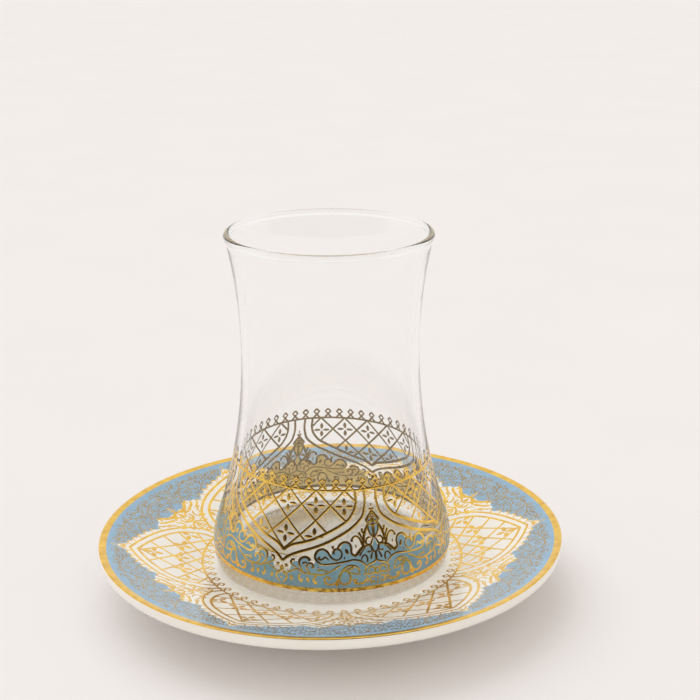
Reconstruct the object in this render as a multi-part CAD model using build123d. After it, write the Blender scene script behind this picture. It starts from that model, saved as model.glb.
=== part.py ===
from build123d import *
import os
from math import sqrt

# A waisted tea glass standing in the flat well of its round porcelain saucer.
# Millimetres. +Z is up, z = 0 is the surface that the saucer stands on, and
# both pieces turn about the Z axis.

# ----------------------------------------------------------------- glass
glass_height = 86.5
waist_radius = 22.15          # outside, at the narrowest place
waist_height = 56.5           # above the glass's own foot
mouth_flare = 3.65            # how far the lip bead stands out past the waist
belly_radius = 30.2           # outside, at the widest place
belly_height = 6.7            # above the glass's own foot
belly_round = 18.0            # radius of the belly's outer curve
heel_round = 2.4              # belly into the foot
wall_mouth = 1.3
wall_waist = 1.5
wall_belly = 2.6
lip_bead = 1.7                # thickness of the fire-rounded lip
base_thickness = 6.0          # solid glass under the inside floor
floor_round = 8.0             # inside floor into the wall
punt_inset = 7.2              # from the belly in to the edge of the hollow under the foot
punt_slope = 6.0              # run of the hollow's sloped edge
punt_depth = 0.8

# ---------------------------------------------------------------- saucer
saucer_radius = 59.0          # out to the lip's upright edge
foot_height = 2.2             # clear height under the well
foot_offset = 2.0             # from the well's edge out to the middle of the foot ring's tread
foot_width = 3.4              # of the ring, at its tread
foot_round = 1.0              # edge rounding of the ring
well_margin = 0.8             # flat floor left around the glass's belly
well_thickness = 3.8          # porcelain under the glass
well_round = 9.0              # soft bend from the floor into the border
border_rise = 7.9             # floor to the lip's upper edge, before its rounding
lip_thickness = 3.1           # porcelain at the lip, measured upright
lip_top_round = 0.6           # upper edge of the lip
lip_low_round = 2.2           # lower edge of the lip, tucked under

mouth_radius = waist_radius + mouth_flare
punt_radius = belly_radius - punt_inset
well_radius = belly_radius + well_margin
well_height = foot_height + well_thickness
foot_radius = well_radius + foot_offset


def flare_radius(small_radius, big_radius, rise):
    """Radius of the arc that leaves a waist upright and reaches big_radius after rise."""
    step = big_radius - small_radius
    return (rise ** 2 + step ** 2) / (2 * step)


def arc_point(centre_r, centre_z, radius, z, side):
    """Point of an arc about (centre_r, centre_z) at height z; side is +1 outwards, -1 inwards."""
    return (centre_r + side * sqrt(max(0, radius ** 2 - (z - centre_z) ** 2)), z)


def wall_curve(waist_r, belly_r, belly_z, round_r, top_r, top_z, bottom_z):
    """The belly arc, the long waist arc tangent to it and the flare up to the mouth.

    Returns the three edges from bottom_z up to top_z, with their end points.
    """
    drop = waist_height - belly_z
    reach = flare_radius(waist_r, belly_r, drop)      # both arc radii added up
    waist_arc = reach - round_r
    belly_centre = belly_r - round_r
    share = round_r / reach
    join = (belly_centre + (waist_r + waist_arc - belly_centre) * share, belly_z + drop * share)
    flare = flare_radius(waist_r, top_r, top_z - waist_height)

    foot = arc_point(belly_centre, belly_z, round_r, bottom_z, 1)
    belly_mid = arc_point(belly_centre, belly_z, round_r, (bottom_z + join[1]) / 2, 1)
    waist_mid = arc_point(waist_r + waist_arc, waist_height, waist_arc, (join[1] + waist_height) / 2, -1)
    flare_mid = arc_point(waist_r + flare, waist_height, flare, (waist_height + top_z) / 2, -1)
    edges = [
        ThreePointArc(foot, belly_mid, join),
        ThreePointArc(join, waist_mid, (waist_r, waist_height)),
        ThreePointArc((waist_r, waist_height), flare_mid, (top_r, top_z)),
    ]
    return edges, foot, (top_r, top_z)


def revolved(face):
    """Turn a profile drawn in the XY plane (X = radius, Y = height) about the Z axis."""
    return revolve(Plane.XZ * face, Axis.Z)


def glass_profile():
    bead = lip_bead / 2
    lip_z = glass_height - bead
    lip_r = mouth_radius - bead

    outside, foot, outer_top = wall_curve(
        waist_radius, belly_radius, belly_height, belly_round,
        lip_r + wall_mouth / 2, lip_z, 0)
    punt_edge = (punt_radius - punt_slope, punt_depth)

    # the belly's inner curve stands a floor rounding above the floor
    inner_belly_z = base_thickness + floor_round
    outer_reach = flare_radius(waist_radius, belly_radius, waist_height - belly_height)
    outer_centre = waist_radius + outer_reach - belly_round
    outer_there = arc_point(outer_centre, waist_height, outer_reach - belly_round, inner_belly_z, -1)[0]
    inner_belly_r = outer_there - wall_belly
    inside, inner_foot, inner_top = wall_curve(
        waist_radius - wall_waist, inner_belly_r, inner_belly_z, floor_round,
        lip_r - wall_mouth / 2, lip_z, base_thickness)

    body = make_face(
        outside
        + inside
        + [
            Line(foot, (punt_radius, 0)),
            Line((punt_radius, 0), punt_edge),
            Line(punt_edge, (0, punt_depth)),
            Line(outer_top, inner_top),
            Line(inner_foot, (0, base_thickness)),
            Line((0, base_thickness), (0, punt_depth)),
        ])
    heel = body.vertices().sort_by_distance((foot[0], foot[1], 0))[0]
    body = fillet(heel, heel_round)
    return body + Pos(lip_r, lip_z) * Circle(bead)


def saucer_profile():
    ring_in = foot_radius - foot_width / 2
    ring_out = foot_radius + foot_width / 2
    # the border rises straight from the well's edge to the lip, and its underside runs level with it
    slope = border_rise / (saucer_radius - well_radius)
    lip_top = (saucer_radius, well_height + border_rise)
    lip_low = (saucer_radius, lip_top[1] - lip_thickness)
    under_join = (ring_out, lip_low[1] - (saucer_radius - ring_out) * slope)
    face = make_face(Polyline(
        (0, foot_height), (ring_in, foot_height), (ring_in, 0), (ring_out, 0), under_join,
        lip_low, lip_top, (well_radius, well_height), (0, well_height), close=True))

    def corner(r, z):
        return face.vertices().sort_by_distance((r, z, 0))[0]

    for place, size in [
        ((ring_in, 0), foot_round),
        ((ring_out, 0), foot_round),
        ((ring_in, foot_height), foot_round),
        (under_join, foot_round),
        ((well_radius, well_height), well_round),
        (lip_top, lip_top_round),
        (lip_low, lip_low_round),
    ]:
        face = fillet(corner(*place), size)
    return face


glass = revolved(glass_profile()).moved(Location((0, 0, well_height)))
saucer = revolved(saucer_profile())

os.makedirs("parts", exist_ok=True)
for name, solid in {"tea_glass": glass, "saucer": saucer}.items():
    export_step(solid, f"parts/{name}.step")
    print(name, round(solid.volume, 1), solid.bounding_box())
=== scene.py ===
from math import atan2, cos, degrees, hypot, pi, radians, sin, sqrt, tan

import bpy
from mathutils import Matrix, Vector


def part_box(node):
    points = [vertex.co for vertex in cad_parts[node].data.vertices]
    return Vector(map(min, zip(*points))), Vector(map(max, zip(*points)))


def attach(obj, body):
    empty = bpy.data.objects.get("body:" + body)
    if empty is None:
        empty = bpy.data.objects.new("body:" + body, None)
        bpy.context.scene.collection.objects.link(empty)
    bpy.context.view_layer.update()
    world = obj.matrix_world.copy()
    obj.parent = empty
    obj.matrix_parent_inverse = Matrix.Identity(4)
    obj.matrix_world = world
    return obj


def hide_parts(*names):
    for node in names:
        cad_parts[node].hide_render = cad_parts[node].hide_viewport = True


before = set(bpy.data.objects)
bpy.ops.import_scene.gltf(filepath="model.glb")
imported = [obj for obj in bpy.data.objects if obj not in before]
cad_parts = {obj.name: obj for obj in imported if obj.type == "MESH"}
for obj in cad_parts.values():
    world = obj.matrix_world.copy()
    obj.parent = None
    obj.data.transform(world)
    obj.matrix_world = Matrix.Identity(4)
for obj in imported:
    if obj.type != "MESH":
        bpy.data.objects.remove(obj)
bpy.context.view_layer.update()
GLASS_LOW, GLASS_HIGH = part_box("tea_glass")
SAUCER_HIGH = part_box("saucer")[1]

bl_info = {
    "name": "Printed Tea Glass and Saucer",
    "version": (1, 0, 0),
    "blender": (4, 5, 0),
    "location": "View3D > Sidebar > Tea Glass",
    "description": "Builds a waisted tea glass and its saucer with gold and blue print",
    "category": "Add Mesh",
}

MM = 0.001
UPRIGHT = {"center": (0, 0, 0), "axis": (0, 0, 1)}   # what both pieces are spun about


def length(name, description, millimetres):
    """A property that holds a length in metres."""
    return bpy.props.FloatProperty(
        name=name, description=description, default=millimetres * MM, min=0.0, precision=5, unit="LENGTH")


def colour(name, description, rgb):
    """A property that holds a finish's colour."""
    return bpy.props.FloatVectorProperty(
        name=name, description=description, default=rgb, size=3, min=0.0, max=1.0, subtype="COLOR")


# ------------------------------------------------------------------ properties
class GlassSizes(bpy.types.PropertyGroup):
    height: length("Height", "Foot to lip", (GLASS_HIGH.z - GLASS_LOW.z) / MM)
    stand: length("Stand", "Height of the glass's foot above the table", GLASS_LOW.z / MM)
    waist_radius: length("Waist radius", "Outside, at the narrowest place", 22.15)
    waist_height: length("Waist height", "Above the glass's own foot", 56.5)
    mouth_flare: length("Mouth flare", "How far the lip bead stands out past the waist", 3.65)
    belly_radius: length("Belly radius", "Outside, at the widest place", GLASS_HIGH.x / MM)
    belly_height: length("Belly height", "Above the glass's own foot", 6.7)
    belly_round: length("Belly round", "Radius of the belly's outer curve", 18.0)
    heel_round: length("Heel round", "Belly into the foot", 2.4)
    wall_mouth: length("Wall at the mouth", "Thickness under the lip bead", 1.3)
    wall_waist: length("Wall at the waist", "Thickness at the waist", 1.5)
    wall_belly: length("Wall at the belly", "Thickness at the belly", 2.6)
    lip_bead: length("Lip bead", "Thickness of the fire-rounded lip", 1.7)
    base_thickness: length("Base", "Solid glass under the inside floor", 6.0)
    floor_round: length("Floor round", "Inside floor into the wall", 8.0)
    punt_inset: length("Punt inset", "From the belly in to the hollow under the foot", 7.2)
    punt_slope: length("Punt slope", "Run of the hollow's sloped edge", 6.0)
    punt_depth: length("Punt depth", "Height of the hollow under the foot", 0.8)
    seat: length("Seat", "Air left between the glass's foot and the well", 0.03)


class SaucerSizes(bpy.types.PropertyGroup):
    radius: length("Radius", "Out to the lip's upright edge", SAUCER_HIGH.x / MM)
    foot_height: length("Foot height", "Clear height under the well", 2.2)
    foot_offset: length("Foot offset", "Well's edge out to the middle of the foot ring", 2.0)
    foot_width: length("Foot width", "Of the ring, at its tread", 3.4)
    foot_round: length("Foot round", "Edge rounding of the ring", 1.0)
    well_margin: length("Well margin", "Flat floor left around the glass's belly", 0.8)
    well_thickness: length("Well thickness", "Porcelain under the glass", 3.8)
    well_round: length("Well round", "Bend from the floor into the border", 9.0)
    border_rise: length("Border rise", "Floor to the lip's upper edge, before its rounding", 7.9)
    lip_thickness: length("Lip thickness", "Porcelain at the lip, measured upright", 3.1)
    lip_top_round: length("Lip top round", "Upper edge of the lip", 0.6)
    lip_low_round: length("Lip low round", "Lower edge of the lip, tucked under", 2.2)


class PrintSizes(bpy.types.PropertyGroup):
    gold_rise: length("Gold rise", "How far a line of gold stands proud", 0.022)
    blue_rise: length("Blue rise", "How far the blue enamel stands proud", 0.015)
    sink: length("Sink", "How far the print is fused into the surface", 0.02)
    bold: length("Bold line", "Width of the medallion's double outline", 0.72)
    line: length("Line", "Width of the lattice and the frieze", 0.56)
    mesh: length("Saucer lattice", "Width of the lattice on the saucer", 0.62)
    scroll: length("Scroll", "Width of the scrollwork on the glass", 0.55)
    fine: length("Fine line", "Width of the scrollwork on the saucer", 0.48)
    tilt: length("Tilt", "How far the print on the glass leans to one side", 0.6)
    lean: length("Lean", "How much higher the print on the glass stands at the back", 0.9)
    turn: bpy.props.FloatProperty(
        name="Turn", description="Where the first medallion of the glass faces, from the front",
        default=radians(-28.7), subtype="ANGLE", unit="ROTATION")


class Finishes(bpy.types.PropertyGroup):
    gold: colour("Gold", "Burnished gold print", (0.97, 0.64, 0.13))
    gold_worn: colour("Gold, worn", "Duller patches of the gold print", (0.77, 0.46, 0.09))
    gold_thin: colour("Gold, thin", "The finest lines over the saucer's blue", (0.54, 0.40, 0.20))
    gold_back: colour("Gold, seen from behind", "Its underside through the glass", (0.30, 0.21, 0.07))
    blue: colour("Blue on glass", "Fired blue enamel on the glass", (0.25, 0.43, 0.52))
    blue_pale: colour("Blue on porcelain", "Fired blue enamel on the saucer", (0.31, 0.51, 0.71))
    # painted light: a light amber in place of the blue, standing in for light that shines through the thin
    # enamel onto its back
    blue_back: colour("Blue, seen from behind", "Its underside through the glass", (0.97, 0.72, 0.26))
    porcelain: colour("Porcelain", "White glazed body", (0.98, 0.955, 0.91))
    porcelain_warm: colour("Porcelain, warm", "Creamier patches of the glaze", (0.965, 0.925, 0.86))
    biscuit: colour("Biscuit", "Bare porcelain on the foot ring's tread", (0.72, 0.67, 0.60))
    glass: colour("Glass", "Clear soda glass", (0.998, 0.998, 0.995))
    backdrop: colour("Backdrop", "Pale floor", (0.915, 0.893, 0.90))


# ------------------------------------------------------------------ shape of the walls
# steps that each stretch of a section is divided into
HEEL_STEPS, OUTER_STEPS, BEAD_STEPS, INNER_STEPS, FLOOR_STEPS = 8, 64, 18, 52, 12
FOOT_STEPS, LIP_STEPS, BORDER_STEPS, BEND_STEPS = 5, 12, 12, 16
BEAD_ARC = (-46, 204)    # degrees of the lip bead that stand clear of the walls
OUTER_END = 1.3          # where the outer wall meets the bead, in bead radii under its middle
BEND_REACH = 3 * MM      # the soft bend into the border is divided finely this far to each side


def flare_radius(small, big, rise):
    """Radius of the arc that leaves a waist upright and reaches big after rise."""
    step = big - small
    return (rise ** 2 + step ** 2) / (2 * step)


class Wall:
    """One side of the glass wall in section: belly arc, long waist arc and flare."""

    def __init__(self, waist, waist_height, belly, belly_height, belly_round, top, top_height):
        reach = flare_radius(waist, belly, waist_height - belly_height)
        flare = flare_radius(waist, top, top_height - waist_height)
        self.join = belly_height + (waist_height - belly_height) * belly_round / reach
        self.waist_height = waist_height
        # centre radius, centre height, arc radius, and 1 where the arc bulges outwards
        self.belly_arc = (belly - belly_round, belly_height, belly_round, 1)
        self.waist_arc = (waist + reach - belly_round, waist_height, reach - belly_round, -1)
        self.flare_arc = (waist + flare, waist_height, flare, -1)

    def arc(self, v):
        if v < self.join:
            return self.belly_arc
        return self.waist_arc if v < self.waist_height else self.flare_arc

    def radius(self, v):
        centre, level, arc, side = self.arc(v)
        return centre + side * sqrt(max(0.0, arc ** 2 - (v - level) ** 2))

    def normal(self, v):
        """Outward direction at height v, as (radial, upward)."""
        centre, level, arc, side = self.arc(v)
        return side * (self.radius(v) - centre) / arc, side * (v - level) / arc

    def line(self, start, end, steps):
        """Section points from height start to height end."""
        return [(self.radius(v), v) for v in spread(start, end, steps)]


def spread(start, end, steps):
    """Evenly spaced values from start to end, both included."""
    return [start + (end - start) * i / steps for i in range(steps + 1)]


def arc_points(centre, level, radius, start, end, steps):
    """Section points of an arc; angles in degrees from the outward direction."""
    return [(centre + radius * cos(radians(a)), level + radius * sin(radians(a)))
            for a in spread(start, end, steps)]


def outer_wall():
    g = bpy.context.scene.glass_sizes
    lip = g.waist_radius + g.mouth_flare - g.lip_bead / 2
    return Wall(g.waist_radius, g.waist_height, g.belly_radius, g.belly_height, g.belly_round,
                lip + g.wall_mouth / 2, g.height - g.lip_bead / 2)


def inner_wall():
    g = bpy.context.scene.glass_sizes
    lip = g.waist_radius + g.mouth_flare - g.lip_bead / 2
    level = g.base_thickness + g.floor_round
    belly = outer_wall().radius(level) - g.wall_belly
    return Wall(g.waist_radius - g.wall_waist, g.waist_height, belly, level, g.floor_round,
                lip - g.wall_mouth / 2, g.height - g.lip_bead / 2)


def glass_section():
    """Section of the glass, from the middle of its punt round to the middle of its floor."""
    g = bpy.context.scene.glass_sizes
    outside, inside = outer_wall(), inner_wall()
    bead = g.lip_bead / 2
    lip_radius, lip_height = g.waist_radius + g.mouth_flare - bead, g.height - bead
    centre, level, arc = outside.belly_arc[:3]
    heel = centre + sqrt((arc - g.heel_round) ** 2 - (g.heel_round - level) ** 2)
    heel_end = degrees(atan2(g.heel_round - level, heel - centre))
    heel_top = level + arc * sin(radians(heel_end))
    punt = g.belly_radius - g.punt_inset
    points = [(0.0, g.punt_depth), (punt - g.punt_slope, g.punt_depth), (punt, 0.0)]
    points += arc_points(heel, g.heel_round, g.heel_round, -90, heel_end, HEEL_STEPS)
    points += outside.line(heel_top, lip_height - OUTER_END * bead, OUTER_STEPS)[1:]
    points += arc_points(lip_radius, lip_height, bead, *BEAD_ARC, BEAD_STEPS)
    floor_centre, floor_level = inside.belly_arc[0], g.base_thickness + g.floor_round
    points += inside.line(lip_height - bead, floor_level, INNER_STEPS)
    points += arc_points(floor_centre, floor_level, g.floor_round, 0, -90, FLOOR_STEPS)[1:]
    points.append((0.0, g.base_thickness))
    return [(r, max(z, g.seat) + g.stand) for r, z in points]


def border():
    """The radius where the saucer's border leaves the well, the well's height and the border's angle."""
    g, s = bpy.context.scene.glass_sizes, bpy.context.scene.saucer_sizes
    well = g.belly_radius + s.well_margin
    return well, s.foot_height + s.well_thickness, atan2(s.border_rise, s.radius - well)


def lip_top():
    """Centre of the rounding on the lip's upper edge, as (radius, height)."""
    s = bpy.context.scene.saucer_sizes
    well, floor, lean = border()
    centre = s.radius - s.lip_top_round
    return centre, floor + (centre - well) * tan(lean) - s.lip_top_round / cos(lean)


def saucer_top(r):
    """Height and outward normal (radial, upward) of the saucer's top face at radius r."""
    s = bpy.context.scene.saucer_sizes
    well, floor, lean = border()
    centre, level = lip_top()
    bend = s.well_round * tan(lean / 2)
    if r <= well - bend:
        return floor, (0.0, 1.0)
    if r <= well + bend * cos(lean):
        across = (r - (well - bend)) / s.well_round
        return floor + s.well_round * (1 - sqrt(1 - across ** 2)), (-across, sqrt(1 - across ** 2))
    if r <= centre - s.lip_top_round * sin(lean):
        return floor + (r - well) * tan(lean), (-sin(lean), cos(lean))
    across = min(1.0, (r - centre) / s.lip_top_round)
    return level + s.lip_top_round * sqrt(1 - across ** 2), (across, sqrt(1 - across ** 2))


def saucer_section():
    """Section of the saucer, from under its middle round to the middle of its well."""
    s = bpy.context.scene.saucer_sizes
    well, floor, lean = border()
    turn = degrees(lean)
    ring = well + s.foot_offset
    ring_in, ring_out = ring - s.foot_width / 2, ring + s.foot_width / 2
    edge = s.foot_round
    low_edge = floor + s.border_rise - s.lip_thickness
    under_join = low_edge - (s.radius - ring_out) * tan(lean)
    # the underside runs into the ring's outer side through a small cove
    cove = edge * (1 - sin(lean)) / cos(lean)
    low_centre = (s.radius - s.lip_low_round,
                  low_edge - s.lip_low_round * tan(lean) + s.lip_low_round / cos(lean))
    lip_start = lip_top()[0] - s.lip_top_round * sin(lean)
    points = [(0.0, s.foot_height)]
    points += arc_points(ring_in - edge, s.foot_height - edge, edge, 90, 0, FOOT_STEPS)
    points += arc_points(ring_in + edge, edge, edge, 180, 270, FOOT_STEPS)
    points += arc_points(ring_out - edge, edge, edge, -90, 0, FOOT_STEPS)
    points += arc_points(ring_out + edge, under_join - cove, edge, 180, 90 + turn, FOOT_STEPS)
    points += arc_points(*low_centre, s.lip_low_round, turn - 90, 0, LIP_STEPS)
    points += arc_points(*lip_top(), s.lip_top_round, 0, 90 + turn, LIP_STEPS)
    for start, end, steps in ((lip_start, well + BEND_REACH, BORDER_STEPS),
                              (well + BEND_REACH, well - BEND_REACH, BEND_STEPS)):
        points += [(r, saucer_top(r)[0]) for r in spread(start, end, steps)[1:]]
    points.append((0.0, floor))
    return points


# ------------------------------------------------------------------ modelling helpers
SMOOTH_ANGLE = 35  # degrees; edges that turn further than this stay crisp
FLAT_PRINT = 12    # degrees; the flat top of a printed line stays crisp against its sloping sides


def deselect():
    bpy.ops.object.select_all(action="DESELECT")


def pick(piece):
    """Make piece the only selected object and the active one."""
    deselect()
    piece.select_set(True)
    bpy.context.view_layer.objects.active = piece


def edit_all(piece, *operations):
    """Run edit mode operators, each given with its settings, on all of a piece."""
    pick(piece)
    bpy.ops.object.mode_set(mode="EDIT")
    bpy.ops.mesh.select_all(action="SELECT")
    for operator, settings in operations:
        operator(**settings)
    bpy.ops.object.mode_set(mode="OBJECT")
    return piece


def tidy_mesh(piece, merge=1e-7):
    """Merge doubles and turn every face outwards."""
    return edit_all(piece, (bpy.ops.mesh.remove_doubles, {"threshold": merge}),
                    (bpy.ops.mesh.normals_make_consistent, {"inside": False}))


def modified(piece, kind, **settings):
    """Give a piece a modifier with its settings and apply it."""
    modifier = piece.modifiers.new(kind.lower(), kind)
    for name, value in settings.items():
        setattr(modifier, name, value)
    pick(piece)
    bpy.ops.object.modifier_apply(modifier=modifier.name)
    return piece


def finish_piece(piece, name, materials=(), angle=SMOOTH_ANGLE):
    """Name a finished piece, give it its finish and let it ride on the frame."""
    pick(piece)
    bpy.ops.object.transform_apply(location=True, rotation=True, scale=True)
    bpy.ops.object.shade_smooth_by_angle(angle=radians(angle))
    piece.name = name
    piece.data.name = name
    for material in materials:
        piece.data.materials.append(material)
    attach(piece, "root")
    return piece


def empty_curve():
    """Add a curve object with no splines yet."""
    deselect()
    bpy.ops.curve.primitive_bezier_curve_add(location=(0, 0, 0))
    curve = bpy.context.object.data
    curve.splines.clear()
    return curve


def curve_to_mesh():
    bpy.ops.object.convert(target="MESH")
    return bpy.context.object


def spun(section, steps):
    """Turn a section, given as (radius, height) points, about the upright axis."""
    spline = empty_curve().splines.new("POLY")
    spline.points.add(len(section) - 1)
    for point, (r, z) in zip(spline.points, section):
        point.co = (r, 0.0, z, 1.0)
    piece = curve_to_mesh()
    edit_all(piece, (bpy.ops.mesh.spin, {"steps": steps, "angle": 2 * pi, **UPRIGHT}))
    return tidy_mesh(piece, merge=1e-6)


# ------------------------------------------------------------------ drawing the print
SHEET = 0.5            # millimetres of flat sheet for a degree round the glass
RUN = 0.8              # millimetres between the points of a straight stroke, so that it follows the wall
BEVEL_ROUNDS = 1       # with fewer, a line is a ridge that sinks under the enamel
PETAL_TIP = 0.08       # weight at a petal's two ends
PETAL_SHOULDER = 0.7   # share of a petal's weight a fifth of the way in from each end
CURL_TURNS = 7         # steps from a curl's mouth to its drop
CURL_DEPTH = 0.78      # how far in towards its centre a curl winds


class Stroke:
    """One line of the print on the flat sheet, in millimetres, with a weight for each point."""

    def __init__(self, points, weights, smooth=True, closed=False):
        self.points, self.weights = points, weights
        self.smooth, self.closed = smooth, closed


def soft(*points, start=0.6, weight=1.0, end=0.6, closed=False):
    """A stroke that curves through its points and thins or swells towards its ends."""
    weights = [weight] * len(points)
    if not closed:
        weights[0], weights[-1] = start * weight, end * weight
    return Stroke(list(points), weights, closed=closed)


def sharp(*points, weight=1.0, closed=False):
    """A stroke of straight runs."""
    return Stroke(list(points), [weight] * len(points), smooth=False, closed=closed)


def petal(start, end, weight):
    """A pointed petal from start to end."""
    points = [(start[0] + (end[0] - start[0]) * t, start[1] + (end[1] - start[1]) * t)
              for t in (0.0, 0.2, 0.5, 0.8, 1.0)]
    shoulder = PETAL_SHOULDER * weight
    return Stroke(points, [PETAL_TIP, shoulder, weight, shoulder, PETAL_TIP])


def dot(centre, weight, reach=0.2):
    """A round dot."""
    return petal((centre[0] - reach, centre[1]), (centre[0] + reach, centre[1]), weight)


def curl(centre, size, start, sweep, stem):
    """A stroke that winds in towards centre and ends in a drop; the points of its stem lead into it."""
    points = list(stem)
    for i in range(CURL_TURNS + 1):
        angle, reach = radians(start + sweep * i / CURL_TURNS), size * (1 - CURL_DEPTH * i / CURL_TURNS)
        points.append((centre[0] + reach * cos(angle), centre[1] + reach * sin(angle)))
    return soft(*points, start=0.5, end=1.5)


def closer(points, gap):
    """The same straight runs with extra points no further apart than gap."""
    out = [points[0]]
    for a, b in zip(points, points[1:]):
        steps = max(1, round(hypot(b[0] - a[0], b[1] - a[1]) / gap))
        out += [(a[0] + (b[0] - a[0]) * i / steps, a[1] + (b[1] - a[1]) * i / steps)
                for i in range(1, steps + 1)]
    return out


def draw_soft(curve, stroke):
    spline = curve.splines.new("BEZIER")
    spline.bezier_points.add(len(stroke.points) - 1)
    spline.use_cyclic_u = stroke.closed
    places = [Vector((x * MM, y * MM, 0)) for x, y in stroke.points]
    last = len(places) - 1
    for i, (point, place) in enumerate(zip(spline.bezier_points, places)):
        before = places[i - 1] if i or stroke.closed else place
        after = places[(i + 1) % len(places)] if i < last or stroke.closed else place
        along = (after - before).normalized()
        point.co = place
        point.handle_left_type = point.handle_right_type = "FREE"
        point.handle_left = place - along * (place - before).length / 3
        point.handle_right = place + along * (after - place).length / 3
        point.radius = stroke.weights[i]


def draw_sharp(curve, stroke):
    spline = curve.splines.new("POLY")
    places = closer(stroke.points + [stroke.points[0]] * stroke.closed, RUN)
    if stroke.closed:
        places.pop()
    spline.points.add(len(places) - 1)
    spline.use_cyclic_u = stroke.closed
    for point, (x, y) in zip(spline.points, places):
        point.co = (x * MM, y * MM, 0.0, 1.0)
        point.radius = stroke.weights[0]


def drawn(strokes, width, steps=4, caps=True):
    """Draw the strokes on the flat sheet as round cords of that width and make them a mesh."""
    curve = empty_curve()
    curve.dimensions = "3D"
    curve.resolution_u = steps
    curve.bevel_depth = width / 2
    curve.bevel_resolution = BEVEL_ROUNDS
    curve.use_fill_caps = caps
    for stroke in strokes:
        (draw_soft if stroke.smooth else draw_sharp)(curve, stroke)
    return curve_to_mesh()


def join(pieces):
    """Join meshes into one."""
    pick(pieces[0])
    for piece in pieces:
        piece.select_set(True)
    bpy.ops.object.join()
    return pieces[0]


def mirrored(half, whole, width, across, **options):
    """Strokes on one side mirrored to the other, joined with those that cross the middle."""
    piece = drawn(half, width, **options)
    modified(piece, "MIRROR", use_axis=(across == "X", across == "Y", False), use_mirror_merge=False)
    tidy_mesh(piece)
    return join([piece, drawn(whole, width, **options)]) if whole else piece


def repeated(piece, count, step, start=0.0):
    """Move a flat piece to its start and repeat it along the sheet."""
    edit_all(piece, (bpy.ops.transform.translate, {"value": (start, 0, 0)}))
    return modified(piece, "ARRAY", count=count, use_relative_offset=False, use_constant_offset=True,
                    constant_offset_displace=(step, 0, 0))


def turned_copies(piece, count):
    """Copies of a piece turned evenly about the upright axis, all one mesh."""
    turns = {"steps": count - 1, "angle": 2 * pi * (count - 1) / count, "dupli": True}
    return edit_all(piece, (bpy.ops.mesh.spin, {**turns, **UPRIGHT}))


def press(z, width):
    """Height of a point of a round cord once it is fused flat onto a surface, however wide it swells."""
    p = bpy.context.scene.print_sizes
    share = max(-1.0, min(1.0, 3 * z / width))
    return share * (p.gold_rise if z > 0 else p.sink)


def lay_on_glass(piece, width=None):
    """Wrap the flat sheet round the glass: x runs round it, y runs up it, z outwards."""
    g, p = bpy.context.scene.glass_sizes, bpy.context.scene.print_sizes
    wall = outer_wall()
    for vertex in piece.data.vertices:
        x, y, z = vertex.co
        angle = radians(x / MM / SHEET) + p.turn
        v = y - p.tilt * sin(angle) + p.lean * (1 - cos(angle)) / 2
        rise = press(z, width) if width else z
        radial, upward = wall.normal(v)
        r = wall.radius(v) + radial * rise
        vertex.co = (r * sin(angle), -r * cos(angle), g.stand + v + upward * rise)
    return tidy_mesh(piece, merge=2e-6)


def lay_on_saucer(piece, width=None):
    """Lay the flat sheet on the saucer's top face."""
    for vertex in piece.data.vertices:
        x, y, z = vertex.co
        rise = press(z, width) if width else z
        r = hypot(x, y)
        height, (radial, upward) = saucer_top(r)
        out = (r + radial * rise) / r
        vertex.co = (x * out, y * out, height + upward * rise)
    return tidy_mesh(piece, merge=2e-6)


def enamel_field(low, high, place, columns=720, rows=12):
    """A flat sheet of enamel: column t, from 0 to 1 across, runs from low(t) to high(t), set by place."""
    deselect()
    bpy.ops.mesh.primitive_grid_add(x_subdivisions=columns, y_subdivisions=rows, size=1)
    piece = bpy.context.object
    for vertex in piece.data.vertices:
        t, share = vertex.co.x + 0.5, vertex.co.y + 0.5
        vertex.co = place(t, low(t) + (high(t) - low(t)) * share)
    return piece


def give_thickness(piece, rise, sink, materials):
    """Turn a laid sheet into a thin closed slab; its underside takes the second finish."""
    for material in materials:
        piece.data.materials.append(material)
    return modified(piece, "SOLIDIFY", thickness=rise + sink, offset=(rise - sink) / (rise + sink),
                    material_offset=1, use_rim=True)


# ------------------------------------------------------------------ materials
GLASS_IOR = 1.5
UNDERSIDE_ROUGHNESS = 0.35
UNDERSIDE_FADE = (0.3 * MM, 0.1 * MM)     # heights above the punt where the satin starts and is full
THROUGH_GLASS = (0.965, 0.965, 0.96)      # tint of the light that falls through the glass
TREAD_FADE = (0.55 * MM, 0.35 * MM)       # heights where the foot ring's bare tread starts and is full
TREAD_ROUGHNESS = 0.85
THIN_GOLD_WEAR = 0.7                      # how much darker the thin gold is in its patches
PAPER_WEAR = 0.985                        # how much darker the floor is in its patches
SPECK_LIGHT, SPECK_SHARE = 1.12, 0.35     # the enamel's fine specks: how light, and how much they show


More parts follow.
